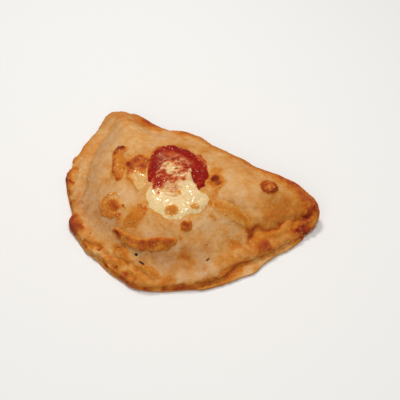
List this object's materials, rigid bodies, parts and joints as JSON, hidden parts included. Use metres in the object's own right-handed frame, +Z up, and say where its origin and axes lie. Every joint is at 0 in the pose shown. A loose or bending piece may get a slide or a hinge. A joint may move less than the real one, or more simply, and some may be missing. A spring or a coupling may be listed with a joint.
{
  "type": "calzone",
  "caption": "Half-moon folded pizza, baked shut along a pressed rim, with tomato and melted, browned cheese on top.",
  "frame": {"origin": "on the surface it rests on, under the middle of the calzone seen from above", "axes": "+X along the fold, towards its thick burnt corner; +Y across it, towards the fold; -Y towards the sealed rim; +Z up"},
  "size_m": [0.2223, 0.1527, 0.0481],
  "materials": {
    "baked_dough": "dull, slightly oily baked dough",
    "tomato": "wet, glossy",
    "melted_mozzarella": "glossy, oily",
    "browned_cheese": "glossy, blistered"
  },
  "bodies": {
    "root": {"crust": "baked_dough", "tomato_sauce": "tomato", "mozzarella": "melted_mozzarella", "cheese_hook": "browned_cheese", "cheese_flow": "browned_cheese", "cheese_patch": "browned_cheese", "cheese_string": "browned_cheese", "cheese_trail": "browned_cheese", "cheese_button": "browned_cheese", "cheese_drop": "browned_cheese", "cheese_spot": "browned_cheese", "cheese_disc": "browned_cheese"}
  },
  "joints": []
}
